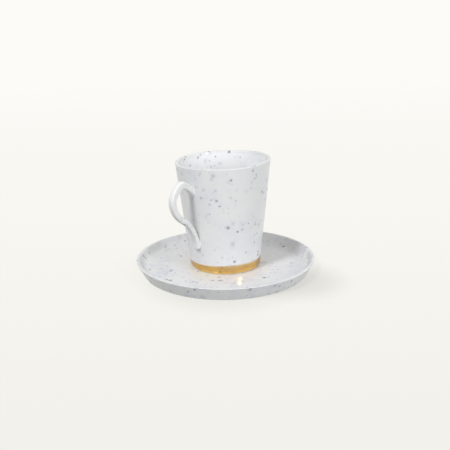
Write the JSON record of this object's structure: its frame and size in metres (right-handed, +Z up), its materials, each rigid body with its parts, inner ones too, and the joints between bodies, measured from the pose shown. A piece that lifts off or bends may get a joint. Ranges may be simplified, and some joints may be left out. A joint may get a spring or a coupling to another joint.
{
  "type": "cup with saucer",
  "caption": "Conical porcelain cup with an arched strap handle and a gilded foot, standing on a low round saucer with a flaring rim, for serving coffee or tea.",
  "frame": {"origin": "centre of the saucer's standing ring, on the table", "axes": "+Z up along the cup's axis, -X towards the cup's handle"},
  "size_m": [0.1396, 0.1396, 0.0888],
  "materials": {
    "saucer_glaze": "white glaze with fine blue-grey speckles, glossy",
    "cup_glaze": "white glaze with fine blue-grey speckles, glossy",
    "handle_glaze": "white glaze with hardly any speckles, glossy",
    "gold_lustre": "brushed-on gold lustre, bright with faint streaks"
  },
  "bodies": {
    "saucer": {"saucer": "saucer_glaze"},
    "cup": {"cup_body": "cup_glaze", "cup_handle": "handle_glaze", "gold_foot_band": "gold_lustre"}
  },
  "joints": [
    {"name": "cup_lift", "type": "slide", "parent": "saucer", "child": "cup", "axis": [0, 0, 1], "range_m": [0, 0.1]}
  ]
}
